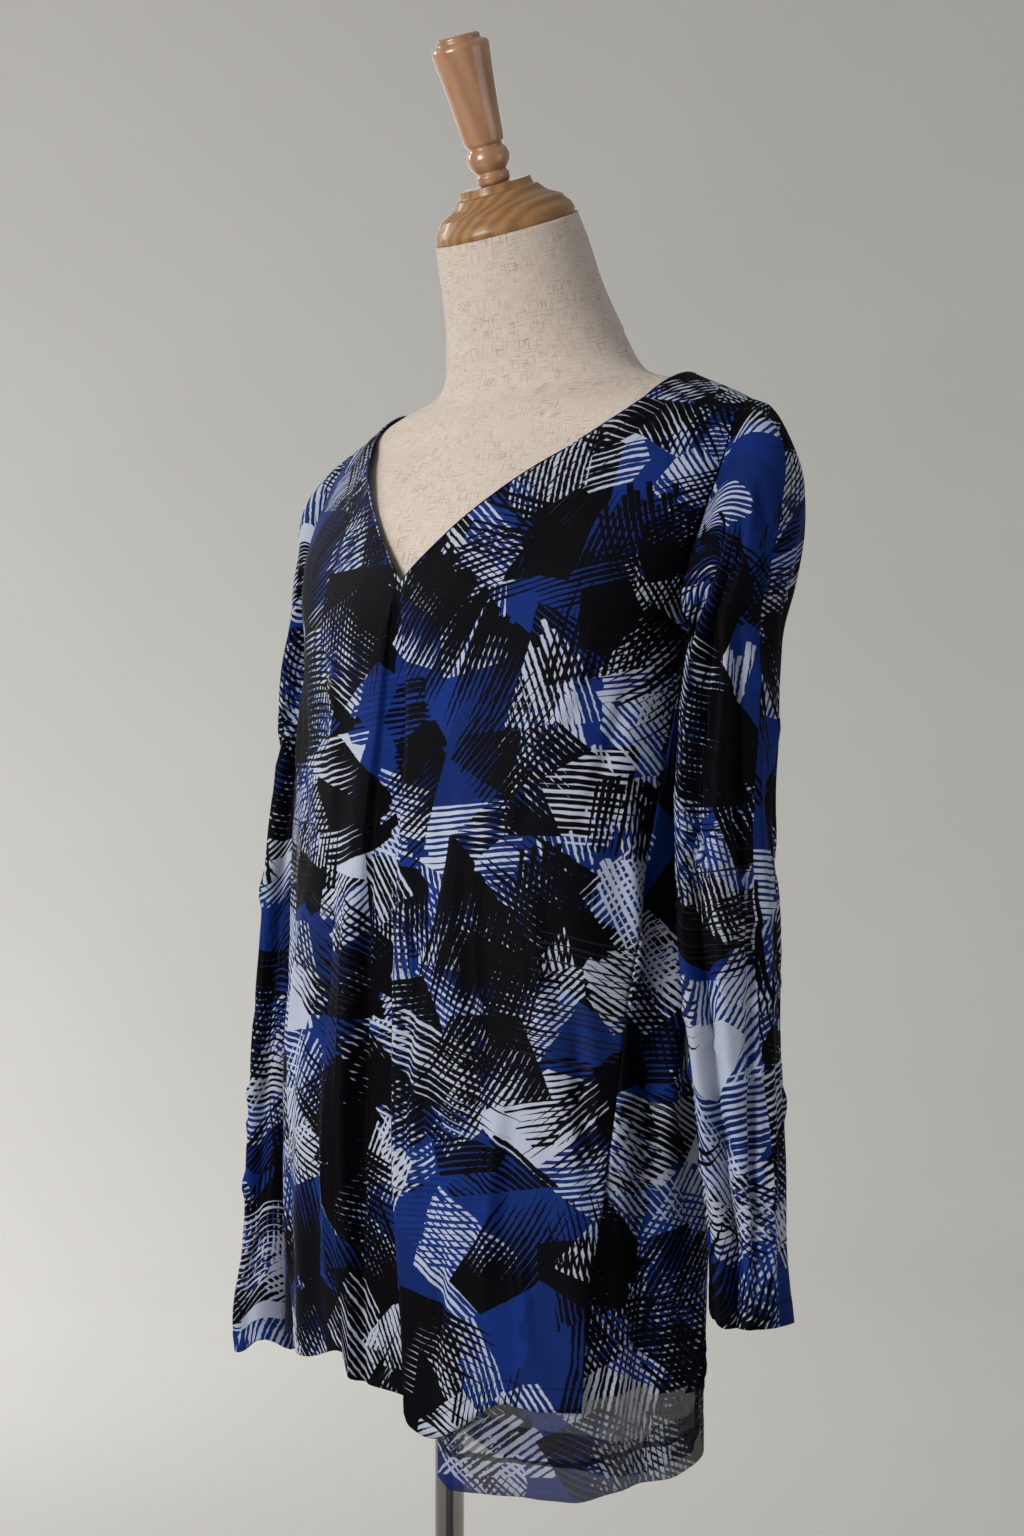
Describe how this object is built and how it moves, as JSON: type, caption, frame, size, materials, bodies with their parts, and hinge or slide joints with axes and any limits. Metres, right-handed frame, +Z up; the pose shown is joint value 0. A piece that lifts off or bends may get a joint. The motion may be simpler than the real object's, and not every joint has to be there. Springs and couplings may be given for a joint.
{
  "type": "blouse on a dress form",
  "caption": "Long-sleeved V-neck blouse with a centre pleat and a longer back tail, worn by a limbless dress form on a pole and round base.",
  "frame": {"origin": "centre of the base's underside, on the pole's axis at the floor", "axes": "+Z up, the wearer's front faces -Y and the wearer's left is +X"},
  "size_m": [0.501, 0.323, 1.651],
  "materials": {
    "printed_mesh": "matte",
    "linen": "matte",
    "oak": "satin",
    "turned_wood": "gloss",
    "chrome": "polished",
    "base_metal": "satin"
  },
  "bodies": {
    "root": {"blouse_front": "printed_mesh", "blouse_back": "printed_mesh", "sleeve_left": "printed_mesh", "sleeve_right": "printed_mesh", "dress_form": "linen", "neck_cap": "oak", "finial": "turned_wood", "pole": "chrome", "base": "base_metal"}
  },
  "joints": []
}
